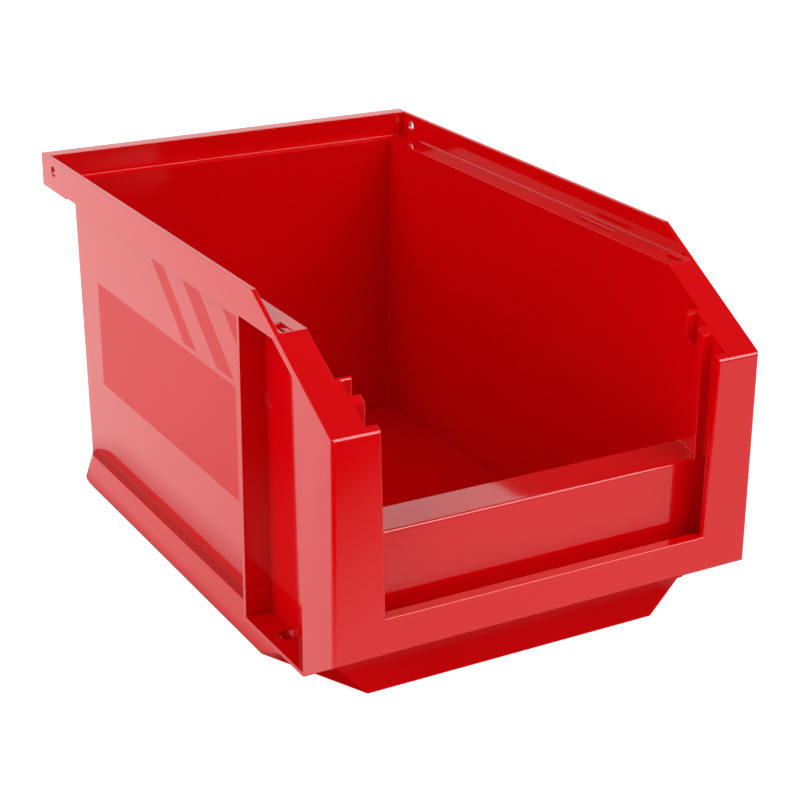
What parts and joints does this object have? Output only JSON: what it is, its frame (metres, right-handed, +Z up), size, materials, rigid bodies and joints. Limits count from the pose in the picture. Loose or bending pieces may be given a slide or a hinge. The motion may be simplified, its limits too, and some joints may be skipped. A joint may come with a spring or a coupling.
{
  "type": "stackable storage bin",
  "caption": "Open-front stackable storage bin moulded in glossy red plastic, with a stacking rim, side grip pockets and a front label panel.",
  "frame": {"origin": "under the middle of the bin, on the surface that the foot rails stand on", "axes": "+X to the bin's right, +Y from the open front to the rear rim, +Z up"},
  "size_m": [0.15, 0.23, 0.125],
  "materials": {
    "red_plastic": "gloss moulded, with satin patches"
  },
  "bodies": {
    "root": {"floor_panel": "red_plastic", "left_wall": "red_plastic", "right_wall": "red_plastic", "rear_wall": "red_plastic", "front_wall": "red_plastic", "front_lip": "red_plastic", "label_panel": "red_plastic", "label_slot_floor": "red_plastic", "front_bar": "red_plastic", "left_front_post": "red_plastic", "right_front_post": "red_plastic", "left_side_plate": "red_plastic", "right_side_plate": "red_plastic", "left_slope_cap": "red_plastic", "right_slope_cap": "red_plastic", "left_guide_rib": "red_plastic", "right_guide_rib": "red_plastic", "left_stop_tab": "red_plastic", "right_stop_tab": "red_plastic", "left_rim": "red_plastic", "right_rim": "red_plastic", "left_ledge": "red_plastic", "right_ledge": "red_plastic", "rear_rim": "red_plastic", "rear_ledge": "red_plastic", "left_fin": "red_plastic", "right_fin": "red_plastic", "left_pocket_floor": "red_plastic", "right_pocket_floor": "red_plastic", "left_foot_rail": "red_plastic", "right_foot_rail": "red_plastic", "left_foot_corner": "red_plastic", "right_foot_corner": "red_plastic", "front_foot": "red_plastic"}
  },
  "joints": []
}
